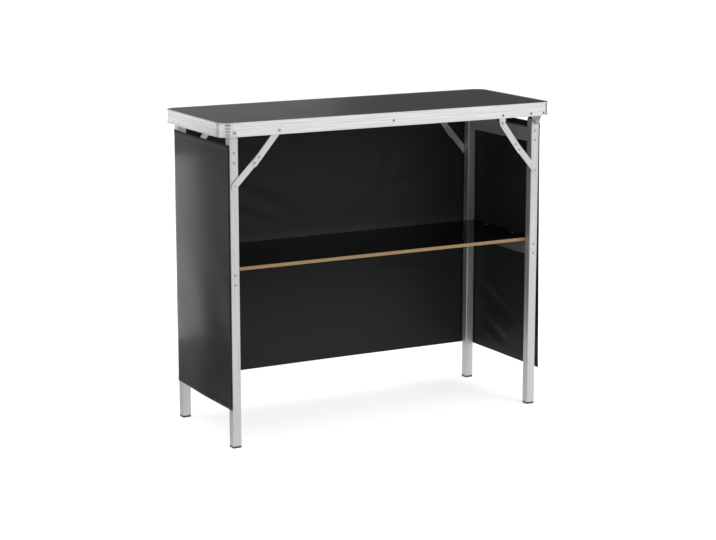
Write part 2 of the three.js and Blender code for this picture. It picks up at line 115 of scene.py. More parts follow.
class BarFinishes(bpy.types.PropertyGroup):
    """Colours of the bar's materials"""

    rail: colour("Rim rail", "Satin anodised aluminium of the rim", "#DEDFE0")
    tube: colour("Legs and tubes", "Drawn aluminium of legs, cross tubes and straps", "#CCCDCE")
    zinc: colour("Fasteners", "Zinc-plated steel of pins and rivets", "#A4A6A9")
    # Rim screws: zinc darkened as painted shade, standing for the shade of their recesses in the rail.
    screw: colour("Rim screws", "Zinc-plated steel of the screws, darkened as painted shade", "#6C6E72")
    top_face: colour("Top", "Satin laminate of the table top", "#1A1A1B")
    shelf_face: colour("Shelf", "Gloss laminate of the shelf", "#060606")
    board_pale: colour("Fibreboard, pale", "Pale fibres of raw board", "#B59A74")
    board_dark: colour("Fibreboard, dark", "Dark fibres of raw board", "#6E5538")
    plastic: colour("Feet and plugs", "Moulded polypropylene", "#2C2D2F")
    cloth: colour("Skirt", "Woven polyester of the skirt", "#2E2E2F")
    thread: colour("Thread", "Sewing thread of the hems", "#232325")


class BarSizes(bpy.types.PropertyGroup):
    """Sizes of the small hardware and the cloth"""

    edge_ease: length("Eased edges", "Rounding of cut metal and board edges", 0.35)
    rivet_radius: length("Rivet head radius", "Dome heads on legs and braces", 3.2)
    rivet_height: length("Rivet head height", "Kept low, because folded straps pass over it", 1.1)
    rivet_step: length("Rivet step", "From a tube's middle to the rivets above and below it", 13.5)
    knee_step: length("Knee rivet step", "From the knee to the rivet further on", 20)
    screw_radius: length("Screw head radius", "Pan heads in the rim", 3.2)
    screw_height: length("Screw head height", "Pan heads in the rim", 1.5)
    screw_level: length("Screw level", "From the rim's lower edge up to its screws", 8)
    screw_drop: length("Middle screw", "From the stiffener's middle down to its screw", 1.5)
    hinge_step: length("Hinge screw step", "From a right hinge to the screw beside it", 21)
    bead: length("Bead", "How far the rail's beads stand out from its face", 1.8)
    corner_turn: number("Corner screw", "How far round the corner its screw sits", 0.2, subtype="ANGLE")
    shelf_screw_radius: length("Shelf screw radius", "Low heads in the shelf", 4.2)
    shelf_screw_height: length("Shelf screw height", "Low heads in the shelf", 2)
    shelf_screw_step: length("Shelf screw step", "From the shelf's middle to its screws", 73)
    cloth_thickness: length("Cloth thickness", "Coated polyester", 0.7)
    cloth_step: length("Cloth mesh", "Distance between points of the cloth", 6)
    hem_width: length("Hem", "Width of the turned hems", 12)
    hem_rise: length("Hem rise", "Extra thickness where the cloth is doubled", 0.3)
    seam_inset: length("Seam inset", "From a hem's turned edge to its seam", 2.5)
    stitch_pitch: length("Stitch pitch", "From one stitch to the next", 4.5)
    stitch_length: length("Stitch length", "Thread seen between two needle holes", 3.2)
    thread_radius: length("Thread radius", "Sewing thread", 0.35)
    tape_gap: length("Tape gap", "Room for the tapes between leg and cloth", 1.8)
    tape_width: length("Tape width", "Hook-and-loop tape", 20)
    tape_length: length("Tape length", "Hook-and-loop tape", 60)
    tape_clearance: length("Tape clearance", "From a tape to the leg", 0.3)
    tape_cover: length("Tape cover", "Cloth over a tape where it lies deepest", 0.1)
    high_tape: length("High tapes", "From the cloth's upper edge to the middle of a tape", 45)
    low_tape: length("Low tapes", "From the cloth's lower edge to the middle of a tape", 60)
    side_belly: length("Side belly", "How far the side panels stand out between the legs", 2)
    back_belly: length("Back belly", "How far the back panel stands out between the legs", 4)
    fold_depth: length("Folds", "Depth of the cloth's soft folds", 2.5)
    crease_depth: length("Creases", "Height of the deepest crease of the slack cloth", 5)
    flare: length("Flare", "How far the free lower corner of the right panel swings out", 9)


class BarStage(bpy.types.PropertyGroup):
    """Camera, floor and light"""

    camera_place: FloatVectorProperty(
        name="Camera",
        description="Where the camera stands",
        default=(-2.5974, -4.8202, 1.5521),
        subtype="XYZ",
        unit="LENGTH",
    )
    camera_yaw: number("Yaw", "Turn to the right", math.radians(28.25), subtype="ANGLE")
    camera_pitch: number("Pitch", "Tilt below the horizon", math.radians(11.743), subtype="ANGLE")
    focal_pixels: number("Focal length", "In pixels of the picture", 1946.9, subtype="PIXEL")
    floor: colour("Floor", "Pale studio floor", "#CCCCCC")
    floor_lift: number("Floor lift", "Added where the floor is seen, so that it is white", 0.62)
    ambient: number("Ambient", "Light from all round", 1.02)
    dim: number("Dim side", "Light from behind on the right", 0.16)
    gap: number("Gap", "Share of the light that comes from the left", 0.3, subtype="FACTOR")
    key_power: number("Key lamp", "Power in watts", 64.0, unit="POWER")
    back_power: number("Back lamp", "Power in watts", 8.0, unit="POWER")
    side_power: number("Side lamp", "Power in watts", 1.2, unit="POWER")


def add_node(tree, kind, inputs=None, **settings):
    """Adds a node with its settings. An input is a value, a socket, or a node for its first output."""
    made = tree.nodes.new(kind)
    for key, value in settings.items():
        setattr(made, key, value)
    for socket, value in (inputs or {}).items():
        if isinstance(value, bpy.types.Node):
            value = value.outputs[0]
        if isinstance(value, bpy.types.NodeSocket):
            tree.links.new(value, made.inputs[socket])
        else:
            made.inputs[socket].default_value = value
    return made


def start_material(name):
    """An empty material and its node tree."""
    material = bpy.data.materials.new(name)
    material.use_nodes = True
    material.node_tree.nodes.clear()
    return material, material.node_tree


def end_material(material, tone=None, gloss=None, bump=None, **constants):
    """Gives a material its Principled shader, with constants on the shader's own sockets. A tone is a
    pattern and its two colours, a gloss a pattern, its highest value and its two roughnesses, and a
    bump a pattern, its strength and its depth."""
    tree = material.node_tree
    inputs = {socket.replace("_", " "): value for socket, value in constants.items()}
    if tone:
        mix = add_node(tree, "ShaderNodeMix", {0: tone[0], 6: tone[1], 7: tone[2]}, data_type="RGBA")
        inputs["Base Color"] = mix.outputs[2]
    if gloss:
        spread = dict(zip(("Value", "From Max", "To Min", "To Max"), gloss))
        inputs["Roughness"] = add_node(tree, "ShaderNodeMapRange", spread)
    if bump:
        relief = dict(zip(("Height", "Strength", "Distance"), bump))
        inputs["Normal"] = add_node(tree, "ShaderNodeBump", relief)
    shader = add_node(tree, "ShaderNodeBsdfPrincipled", inputs)
    add_node(tree, "ShaderNodeOutputMaterial", {"Surface": shader})
    return material


def drawn_metal(name, shade, roughness, along, line):
    """Drawn, anodised aluminium: fine die lines run along it, its gloss varies with handling, and the
    film scatters some light, so that shaded faces stay grey. Lines that run level round a rim have no
    way of their own. Die lines of 0.1 mm are drawn as wide as the line given, so that they show."""
    streaks_per_metre = 5
    smears_per_metre = 38
    scale = (streaks_per_metre, 1 / line if along else streaks_per_metre, 1 / line)
    material, tree = start_material(name)
    place = add_node(tree, "ShaderNodeTexCoord").outputs["Object"]
    turn = Vector(along or ALONG_X).rotation_difference(Vector(ALONG_X)).to_euler()
    turned = add_node(tree, "ShaderNodeMapping", {"Vector": place, "Rotation": turn})
    lines = add_node(tree, "ShaderNodeMapping", {"Vector": turned, "Scale": scale})
    streak = add_node(tree, "ShaderNodeTexNoise", {"Vector": lines, "Scale": 1.0, "Detail": 3.0})
    smear = add_node(tree, "ShaderNodeTexNoise", {"Vector": place, "Scale": smears_per_metre, "Detail": 4.0})
    clear = add_node(tree, "ShaderNodeMapRange", {"Value": streak, "From Min": 0.3, "From Max": 0.7})
    handled = add_node(tree, "ShaderNodeMath", {0: streak, 1: smear}, operation="MULTIPLY")
    return end_material(
        material,
        tone=(clear, darker(shade, 0.8), shade),
        gloss=(handled, 0.5, roughness - 0.08, roughness + 0.1),
        bump=(streak, 0.12, 0.15 * MM),
        Metallic=0.72,
    )


def zinc_plate(name, shade):
    """Zinc-plated steel: a cool, slightly cloudy bright metal with a faint grain."""
    grain = 1.6 * MM
    clouds_per_metre = 120
    material, tree = start_material(name)
    place = add_node(tree, "ShaderNodeTexCoord").outputs["Object"]
    cells = add_node(tree, "ShaderNodeTexVoronoi", {"Vector": place, "Scale": 1 / grain})
    cloud = add_node(tree, "ShaderNodeTexNoise", {"Vector": place, "Scale": clouds_per_metre, "Detail": 3.0})
    tone = (cells, shade, darker(shade, 0.8))
    return end_material(material, tone, gloss=(cloud, 1.0, 0.22, 0.42), Metallic=1.0)


def laminate(name, shade, roughness, grain, depth, specular):
    """Melamine laminate: a pressed black sheet whose fine pearl grain softens what it mirrors.
    The grain is drawn a few times coarser than the real 0.3 mm, so that it shows."""
    patches_per_metre = 7
    rubs_per_metre = (9, 160, 160)
    material, tree = start_material(name)
    place = add_node(tree, "ShaderNodeTexCoord").outputs["Object"]
    pearl = add_node(tree, "ShaderNodeTexNoise", {"Vector": place, "Scale": 1 / grain, "Detail": 2.0})
    wear = add_node(tree, "ShaderNodeTexNoise", {"Vector": place, "Scale": patches_per_metre, "Detail": 6.0})
    wiped = add_node(tree, "ShaderNodeMapping", {"Vector": place, "Scale": rubs_per_metre})
    rubs = add_node(tree, "ShaderNodeTexNoise", {"Vector": wiped, "Scale": 1.0, "Detail": 3.0})
    both = add_node(tree, "ShaderNodeMath", {0: wear, 1: rubs}, operation="MULTIPLY")
    return end_material(
        material,
        tone=(wear, darker(shade, 0.85), darker(shade, 1.12)),
        gloss=(both, 0.5, roughness * 0.92, roughness * 1.1),
        bump=(pearl, 0.2, depth),
        IOR=1.5,
        Specular_IOR_Level=specular,
    )


def fibreboard(name, pale, dark):
    """Raw medium-density fibreboard: sawn edge of felted wood fibres, matt and mottled.
    Fibres of 0.2 mm are drawn 1.2 mm wide, so that they show."""
    fibre = 1.2 * MM
    fibre_length = 4 * fibre
    material, tree = start_material(name)
    place = add_node(tree, "ShaderNodeTexCoord").outputs["Object"]
    scale = (1 / fibre_length, 1 / fibre_length, 1 / fibre)
    layered = add_node(tree, "ShaderNodeMapping", {"Vector": place, "Scale": scale})
    fibres = add_node(tree, "ShaderNodeTexNoise", {"Vector": layered, "Scale": 1.0, "Detail": 5.0})
    return end_material(
        material,
        tone=(fibres, dark, pale),
        bump=(fibres, 0.4, 0.3 * MM),
        Roughness=0.85,
        Specular_IOR_Level=0.25,
    )


def moulded_plastic(name, shade):
    """Moulded polypropylene: a matt skin with the mould's fine spark texture, a little scuffed."""
    spark = 0.7 * MM
    scuffs_per_metre = 90
    material, tree = start_material(name)
    place = add_node(tree, "ShaderNodeTexCoord").outputs["Object"]
    skin = add_node(tree, "ShaderNodeTexNoise", {"Vector": place, "Scale": 1 / spark, "Detail": 2.0})
    scuff = add_node(tree, "ShaderNodeTexNoise", {"Vector": place, "Scale": scuffs_per_metre, "Detail": 5.0})
    return end_material(
        material,
        tone=(scuff, darker(shade, 0.8), darker(shade, 1.5)),
        gloss=(scuff, 1.0, 0.42, 0.66),
        bump=(skin, 0.3, 0.1 * MM),
        IOR=1.49,
    )


def woven_cloth(name, shade):
    """Coated polyester of plain weave: threads pass over and under each other and catch a soft sheen.
    Threads of 0.4 mm are drawn 1.6 mm wide, so that they show. The UV map is in metres."""
    thread = 1.6 * MM
    slubs_per_metre = (14, 420, 1)
    patches_per_metre = 6
    material, tree = start_material(name)
    laid = add_node(tree, "ShaderNodeUVMap")
    split = add_node(tree, "ShaderNodeSeparateXYZ", {"Vector": laid})
    waves = []
    for axis in ("X", "Y"):
        threads = {0: split.outputs[axis], 1: math.pi / thread}
        turns = add_node(tree, "ShaderNodeMath", threads, operation="MULTIPLY")
        waves.append(add_node(tree, "ShaderNodeMath", {0: turns}, operation="SINE"))
    weave = add_node(tree, "ShaderNodeMath", {0: waves[0], 1: waves[1]}, operation="MULTIPLY")
    high = add_node(tree, "ShaderNodeMapRange", {"Value": weave, "From Min": -1.0})
    drawn_out = add_node(tree, "ShaderNodeMapping", {"Vector": laid, "Scale": slubs_per_metre})
    slubs = add_node(tree, "ShaderNodeTexNoise", {"Vector": drawn_out, "Scale": 1.0, "Detail": 3.0})
    mixed = add_node(tree, "ShaderNodeMath", {0: high, 1: slubs}, operation="MULTIPLY")
    fade = add_node(tree, "ShaderNodeTexNoise", {"Vector": laid, "Scale": patches_per_metre, "Detail": 4.0})
    return end_material(
        material,
        tone=(mixed, darker(shade, 0.75), darker(shade, 1.6)),
        gloss=(fade, 1.0, 0.34, 0.44),
        bump=(mixed, 0.35, 0.25 * MM),
        IOR=1.5,
        Specular_IOR_Level=0.06,
        Sheen_Weight=0.03,
        Sheen_Roughness=0.4,
    )


def loop_tape(name, shade):
    """Hook-and-loop tape: a dense matt pile of nylon loops."""
    loop = 1.1 * MM
    material, tree = start_material(name)
    place = add_node(tree, "ShaderNodeTexCoord").outputs["Object"]
    pile = add_node(tree, "ShaderNodeTexVoronoi", {"Vector": place, "Scale": 1 / loop})
    return end_material(
        material,
        tone=(pile, darker(shade, 1.1), darker(shade, 0.4)),
        bump=(pile, 0.7, 0.5 * MM),
        Roughness=0.95,
        Specular_IOR_Level=0.1,
        Sheen_Weight=0.08,
    )


def spun_thread(name, shade):
    """Sewing thread: plies of spun polyester, seen as a fine mottle."""
    ply = 0.6 * MM
    material, tree = start_material(name)
    place = add_node(tree, "ShaderNodeTexCoord").outputs["Object"]
    plies = add_node(tree, "ShaderNodeTexNoise", {"Vector": place, "Scale": 1 / ply, "Detail": 1.0})
    tone = (plies, darker(shade, 0.6), darker(shade, 1.4))
    return end_material(material, tone, Roughness=0.7, Sheen_Weight=0.3)


def material_once(name, make, *values):
    """The material of that name, made at its first use."""
    return bpy.data.materials.get(name) or make(name, *values)


def start_tree(name, sockets):
    """A Geometry Nodes tree with named inputs, and its input node."""
    tree = bpy.data.node_groups.new(name, "GeometryNodeTree")
    tree.interface.new_socket("Geometry", in_out="INPUT", socket_type="NodeSocketGeometry")
    for label, kind in sockets.items():
        tree.interface.new_socket(label, in_out="INPUT", socket_type="NodeSocket" + kind)
    tree.interface.new_socket("Geometry", in_out="OUTPUT", socket_type="NodeSocketGeometry")
    return tree, add_node(tree, "NodeGroupInput")


def end_tree(tree, given, instances):
    """Realises the instances and gives them the material."""
    real = add_node(tree, "GeometryNodeRealizeInstances", {"Geometry": instances})
    named = {"Geometry": real, "Material": given.outputs["Material"]}
    done = add_node(tree, "GeometryNodeSetMaterial", named)
    add_node(tree, "NodeGroupOutput", {"Geometry": done})
    return tree


def fastener_tree(recessed):
    """Heads on points that face the way of the points' own 'facing': a dome on a thin collar, or for
    a screw a dome with a cross recess."""
    name = "cross_head_screws" if recessed else "dome_rivets"
    if name in bpy.data.node_groups:
        return bpy.data.node_groups[name]
    tree, given = start_tree(name, {"Radius": "Float", "Height": "Float", "Material": "Material"})
    radius, height = given.outputs["Radius"], given.outputs["Height"]
    ball = add_node(tree, "GeometryNodeMeshUVSphere", {"Segments": 20, "Rings": 10, "Radius": 1.0})
    dome_size = add_node(tree, "ShaderNodeCombineXYZ", {"X": radius, "Y": radius, "Z": height})
    dome = add_node(tree, "GeometryNodeTransform", {"Geometry": ball, "Scale": dome_size})
    if recessed:
        head = cut_cross(tree, dome, radius, height)
    else:
        rim = add_node(tree, "ShaderNodeMath", {0: radius, 1: 1.18}, operation="MULTIPLY")
        low = add_node(tree, "ShaderNodeMath", {0: height, 1: 0.5}, operation="MULTIPLY")
        collar = add_node(tree, "GeometryNodeMeshCylinder", {"Vertices": 20, "Radius": rim, "Depth": low})
        head = add_node(tree, "GeometryNodeJoinGeometry")
        for part in (dome, collar):
            tree.links.new(part.outputs[0], head.inputs[0])
    facing = add_node(tree, "GeometryNodeInputNamedAttribute", {"Name": "facing"}, data_type="FLOAT_VECTOR")
    turn = add_node(tree, "FunctionNodeAlignRotationToVector", {"Vector": facing}, axis="Z")
    heads = {"Points": given.outputs["Geometry"], "Instance": head, "Rotation": turn}
    return end_tree(tree, given, add_node(tree, "GeometryNodeInstanceOnPoints", heads))


def cut_cross(tree, dome, radius, height):
    """A dome with a cross recess, cut by a square prism whose four sides are drawn out to arms."""
    core, arm, tall = (
        add_node(tree, "ShaderNodeMath", {0: size, 1: share}, operation="MULTIPLY")
        for size, share in ((radius, 0.18), (radius, 0.4), (height, 1.1))
    )
    prism = add_node(tree, "GeometryNodeMeshCylinder", {"Vertices": 4, "Radius": core, "Depth": tall})
    sides = {"Mesh": prism, "Selection": prism.outputs["Side"], "Offset Scale": arm}
    cross = add_node(tree, "GeometryNodeExtrudeMesh", sides)
    lift = add_node(tree, "ShaderNodeCombineXYZ", {"Z": height})
    square_on = (0, 0, math.pi / 4)
    moved = {"Geometry": cross, "Translation": lift, "Rotation": square_on}
    raised = add_node(tree, "GeometryNodeTransform", moved)
    return add_node(tree, "GeometryNodeMeshBoolean", {0: dome, 1: raised}, operation="DIFFERENCE")


def stitch_tree():
    """A run of stitches along each edge path."""
    sockets = {"Pitch": "Float", "Length": "Float", "Thread": "Float", "Material": "Material"}
    tree, given = start_tree("run_of_stitches", sockets)
    path = add_node(tree, "GeometryNodeMeshToCurve", {"Mesh": given.outputs["Geometry"]})
    pitch = {"Curve": path, "Length": given.outputs["Pitch"]}
    holes = add_node(tree, "GeometryNodeCurveToPoints", pitch, mode="LENGTH")
    bead = add_node(tree, "GeometryNodeMeshUVSphere", {"Segments": 6, "Rings": 4, "Radius": 1.0})
    half = add_node(tree, "ShaderNodeMath", {0: given.outputs["Length"], 1: 0.5}, operation="MULTIPLY")
    thread = given.outputs["Thread"]
    size = add_node(tree, "ShaderNodeCombineXYZ", {"X": thread, "Y": thread, "Z": half})
    stitch = add_node(tree, "GeometryNodeTransform", {"Geometry": bead, "Scale": size})
    laid = {"Points": holes, "Instance": stitch, "Rotation": holes.outputs["Rotation"]}
    return end_tree(tree, given, add_node(tree, "GeometryNodeInstanceOnPoints", laid))


def link_object(name, mesh):
    """A mesh as an object of the scene."""
    made = bpy.data.objects.new(name, mesh)
    bpy.context.scene.collection.objects.link(made)
    return made


def grow(name, seed_mesh, tree, values, smooth_angle=35):
    """Runs a tree on a seed mesh and keeps the result as a plain mesh object."""
    seed = link_object(name + "_seed", seed_mesh)
    modifier = seed.modifiers.new("grow", "NODES")
    modifier.node_group = tree
    for item in tree.interface.items_tree:
        if item.in_out == "INPUT" and item.name in values:
            modifier[item.identifier] = values[item.name]
    depsgraph = bpy.context.evaluated_depsgraph_get()
    mesh = bpy.data.meshes.new_from_object(seed.evaluated_get(depsgraph))
    bpy.data.objects.remove(seed)
    if not mesh.polygons:
        raise RuntimeError(f"{name} came out empty")
    mesh.name = name
    mesh.shade_smooth()
    mesh.set_sharp_from_angle(angle=math.radians(smooth_angle))
    return link_object(name, mesh)


def fasteners(name, spots, body, recessed, radius, height):
    """One object with a head at each spot, a point and the way that it faces."""
    mesh = bpy.data.meshes.new(name + "_spots")
    mesh.from_pydata([point for point, _ in spots], [], [])
    facing = mesh.attributes.new("facing", "FLOAT_VECTOR", "POINT")
    facing.data.foreach_set("vector", [value for _, way in spots for value in way])
    finishes = bpy.context.scene.bar_finishes
    # The rim screws' darker zinc is painted shade of their recesses in the rail.
    if recessed and body == "top":
        zinc = material_once("dull_zinc_plated_steel", zinc_plate, tuple(finishes.screw))
    else:
        zinc = material_once("zinc_plated_steel", zinc_plate, tuple(finishes.zinc))
    values = {"Radius": radius, "Height": height, "Material": zinc}
    piece = grow(name, mesh, fastener_tree(recessed), values)
    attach(piece, body)


def node_middle(name):
    """Middle of a CAD node's box."""
    low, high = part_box(name)
    return (low + high) / 2


def outer_face(name, out):
    """How far a CAD node reaches to the front or to the back."""
    low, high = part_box(name)
    return low.y if out < 0 else high.y


def stage_sheet(name, low, high, material):
    """A rectangle of the stage, flat along one axis, between two opposite corners."""
    u, v = [axis for axis in range(3) if low[axis] != high[axis]]
    corners = [list(low) for _ in range(4)]
    corners[1][u] = corners[2][u] = high[u]
    corners[2][v] = corners[3][v] = high[v]
    mesh = bpy.data.meshes.new(name)
    mesh.from_pydata(corners, [], [(0, 1, 2, 3)])
    mesh.materials.append(material)
    sheet = link_object(name, mesh)
    return sheet


class BAR_OT_set_stage(bpy.types.Operator):
    """Set up the camera, the floor and the lamps"""

    bl_idname = "bar.set_stage"
    bl_label = "Set stage"

    MATT = {"Roughness": 1.0, "Specular_IOR_Level": 0.0, "Emission_Color": WHITE}
    FLOOR_HALF = 60.0
    FLOOR_LEVEL = -0.5 * MM
    # Where less light comes from: behind on the right, and a narrower gap on the left.
    DIM_SIDE = Vector((0.25, 0.96, 0.1)).normalized()
    GAP_SIDE = Vector((-0.92, -0.38, 0.05)).normalized()
    # Name of a lamp, its place, what it is aimed at, and its width and height.
    LAMPS = (
        ("key", (1.9, -3.4, 2.4), (0, 0, 0.5), (2.2, 2.2)),
        ("back", (-0.6, 3.0, 1.3), (-0.6, 0, 1.3), (4.2, 2.0)),
        ("side", (-0.36, 1.0, 0.3), (-0.36, 0, 0.3), (0.9, 0.56)),
    )
    # Name of a card, its glow, and two opposite corners.
    CARDS = (
        ("card_behind", 0.0, (-1.8, 0.3, 0), (-0.6, 0.3, 0.78)),
        ("card_shine", 5.0, (-0.57, 0.29, 0.2), (-0.51, 0.29, 0.74)),
        ("card_right", 0.1, (1.6, -0.35, 0.5), (1.6, 0.9, 1)),
        ("card_before", 0.25, (-2.4, -2, 0), (-0.25, -2, 1.6)),
        ("card_below", 0.78, (-1, -0.16, 0), (-0.51, 0.6, 0)),
    )

    def execute(self, context):
        stage = context.scene.bar_stage
        context.scene.view_settings.view_transform = "Standard"
        self.set_camera(context.scene, stage)
        self.lay_floor(stage)
        self.light_world(context.scene, stage)
        self.hang_lamps(stage)
        self.hang_cards()
        return {"FINISHED"}

    def set_camera(self, scene, stage):
        yaw, pitch = stage.camera_yaw, stage.camera_pitch
        level = math.cos(pitch)
        ahead = Vector((math.sin(yaw) * level, math.cos(yaw) * level, -math.sin(pitch)))
        data = bpy.data.cameras.new("view")
        data.sensor_width = SENSOR_WIDTH
        data.lens = stage.focal_pixels / IMAGE_WIDTH * SENSOR_WIDTH
        camera = link_object("view", data)
        camera.location = stage.camera_place
        camera.rotation_euler = ahead.to_track_quat("-Z", "Y").to_euler()
        scene.camera = camera

    def lay_floor(self, stage):
        """A pale floor that is white where it is seen and still shows the object's shadow."""
        material, tree = start_material("studio_floor")
        rays = add_node(tree, "ShaderNodeLightPath").outputs
        seen = rays["Is Camera Ray"]
        for ray in ("Is Glossy Ray", "Is Transmission Ray"):
            seen = add_node(tree, "ShaderNodeMath", {0: seen, 1: rays[ray]}, operation="MAXIMUM")
        lift = add_node(tree, "ShaderNodeMath", {0: seen, 1: stage.floor_lift}, operation="MULTIPLY")
        end_material(material, Base_Color=stage.floor, Emission_Strength=lift, **self.MATT)
        half, level = self.FLOOR_HALF, self.FLOOR_LEVEL
        stage_sheet("floor", (-half, -half, level), (half, half, level), material)

    def light_world(self, scene, stage):
        """White light from all round, with a dim side and a gap."""
        world = bpy.data.worlds.new("studio")
        scene.world = world
        world.use_nodes = True
        tree = world.node_tree
        tree.nodes.clear()
        way = add_node(tree, "ShaderNodeTexCoord").outputs["Generated"]
        shares = []
        for side, start, most, least in (
            (self.DIM_SIDE, 0.3, stage.ambient, stage.dim),
            (self.GAP_SIDE, 0.8, 1.0, stage.gap),
        ):
            towards = add_node(tree, "ShaderNodeVectorMath", {0: way, 1: side}, operation="DOT_PRODUCT")
            fall = {"Value": towards.outputs["Value"], "From Min": start, "To Min": most, "To Max": least}
            shares.append(add_node(tree, "ShaderNodeMapRange", fall, interpolation_type="SMOOTHSTEP"))
        strength = add_node(tree, "ShaderNodeMath", {0: shares[0], 1: shares[1]}, operation="MULTIPLY")
        sky = add_node(tree, "ShaderNodeBackground", {"Color": WHITE, "Strength": strength})
        add_node(tree, "ShaderNodeOutputWorld", {"Surface": sky})

    def hang_lamps(self, stage):
        """Lamps out of sight. Shiny surfaces don't see the key lamp, and the low side lamp spares the
        floor, where it would leave a bright patch."""
        for name, place, aim, size in self.LAMPS:
            data = bpy.data.lights.new(name, "AREA")
            data.energy = getattr(stage, name + "_power")
            data.shape = "RECTANGLE"
            data.size, data.size_y = size
            lamp = link_object(name, data)
            lamp.visible_camera = False
            lamp.location = place
            lamp.rotation_euler = (Vector(aim) - Vector(place)).to_track_quat("-Z", "Y").to_euler()
        bpy.data.objects["key"].visible_glossy = False
        spared = bpy.data.collections.new("not_lit_by_side")
        spared.objects.link(bpy.data.objects["floor"])
        spared.collection_objects[0].light_linking.link_state = "EXCLUDE"
        bpy.data.objects["side"].light_linking.receiver_collection = spared

    def hang_cards(self):
        """Cards that only shiny surfaces see: dark ones shade the near half of the left panel and draw
        a band on the rim's corners, a bright one lights the panel's far edge, and a grey one on the
        floor calms the sides of the legs."""
        for name, glow, low, high in self.CARDS:
            material, _ = start_material(name)
            end_material(material, Base_Color=BLACK, Emission_Strength=glow, **self.MATT)
            card = stage_sheet(name, low, high, material)
            for ray in ("camera", "diffuse", "transmission", "volume_scatter", "shadow"):
                setattr(card, "visible_" + ray, False)


class BAR_OT_finish_frame(bpy.types.Operator):
    """Give every CAD piece its material and ease its edges"""

    bl_idname = "bar.finish_frame"
    bl_label = "Finish frame"

    # Start of a node's name, its material, its colour and the share of it, its roughness, and the way
    # and width of its lines.
    METALS = (
        ("rail_corner", "bright_aluminium_corner", "rail", 1.0, 0.26, None, 4 * MM),
        ("rail", "anodised_aluminium_rim", "rail", 1.0, 0.34, None, 4 * MM),
        ("cross_tube", "drawn_aluminium_cross_tube", "tube", 1.0, 0.5, ALONG_Y, 4 * MM),
        # The shelf bearers take half the tube's colour: painted shade, standing for the shade under the
        # shelf.
        ("shelf_bearer", "dull_aluminium_shelf_bearer", "tube", 0.5, 0.5, ALONG_Y, 4 * MM),
        # The leg hinge brackets take 0.42 of the tube's colour: painted shade, standing for the rail's shade
        # over them.
        ("leg_bracket", "pressed_aluminium_hinge_bracket", "tube", 0.42, 0.45, ALONG_X, 3 * MM),
        ("brace_bracket", "pressed_aluminium_bracket", "tube", 1.0, 0.45, ALONG_X, 3 * MM),
        ("leg", "drawn_aluminium_leg", "tube", 1.0, 0.48, ALONG_Z, 4 * MM),
    )

    def execute(self, context):
        finishes = context.scene.bar_finishes
        zinc = material_once("zinc_plated_steel", zinc_plate, tuple(finishes.zinc))
        plastic = material_once("moulded_polypropylene", moulded_plastic, tuple(finishes.plastic))
        for name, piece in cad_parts.items():
            if name == "skirt":
                continue
            if name in ("table_top", "shelf"):
                self.finish_board(name, piece, finishes)
            elif "pin" in name or name == "centre_stiffener":
                self.assign(piece, zinc)
            elif name.startswith(("foot", "leg_plug")):
                self.assign(piece, plastic)
            elif name.startswith(("brace_upper", "brace_lower")):
                self.assign(piece, self.strap_metal(name, finishes))
            else:
                self.assign(piece, self.metal(name, finishes))
            self.ease(piece, context.scene.bar_sizes.edge_ease)
        return {"FINISHED"}

    def metal(self, name, finishes):
        """Drawn aluminium, by the table of metals."""
        for start, label, key, share, roughness, along, line in self.METALS:
            if name.startswith(start):
                shade = darker(getattr(finishes, key), share)
                return material_once(label, drawn_metal, shade, roughness, along, line)
        raise RuntimeError(f"{name} has no finish")

    def strap_metal(self, name, finishes):
        """Rolled aluminium whose lines run along the strap, which rises away from its leg."""
        _, part, _, end = name.split("_")
        low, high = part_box(name)
        along = (high.x - low.x, 0, -ENDS[end] * (high.z - low.z))
        label = f"rolled_aluminium_{part}_strap_{end}"
        return material_once(label, drawn_metal, tuple(finishes.tube), 0.44, along, 3 * MM)

    def assign(self, piece, *materials):
        piece.data.materials.clear()
        for material in materials:
            piece.data.materials.append(material)

    def finish_board(self, name, piece, finishes):
        """Laminate on the faces and raw board on the sawn edges; the top is raw underneath."""
        pale, dark = tuple(finishes.board_pale), tuple(finishes.board_dark)
        raw = material_once("raw_fibreboard", fibreboard, pale, dark)
        if name == "table_top":
            look = (tuple(finishes.top_face), 0.36, 1.4 * MM, 0.06 * MM, 0.5)
            face = material_once("satin_black_laminate", laminate, *look)
        else:
            look = (tuple(finishes.shelf_face), 0.1, 2.5 * MM, 0.01 * MM, 0.22)
            face = material_once("gloss_black_laminate", laminate, *look)
        self.assign(piece, face, raw)
        for polygon in piece.data.polygons:
            level = polygon.normal.z
            laminated = level > 0.5 or (name == "shelf" and level < -0.5)
            polygon.material_index = 0 if laminated else 1

    def ease(self, piece, width):
        """Welds the triangles and rounds the hard edges, so that they catch the light."""
        piece.data.shade_smooth()
        weld = piece.modifiers.new("weld", "WELD")
        weld.merge_threshold = 0.001 * MM
        flat = piece.modifiers.new("flat", "DECIMATE")
        flat.decimate_type = "DISSOLVE"
        flat.angle_limit = math.radians(0.5)
        flat.delimit = {"MATERIAL"}
        ease = piece.modifiers.new("ease", "BEVEL")
        ease.width = width
        ease.segments = 2
        ease.limit_method = "ANGLE"
        ease.angle_limit = math.radians(40)
        piece.modifiers.new("normals", "WEIGHTED_NORMAL").keep_sharp = True


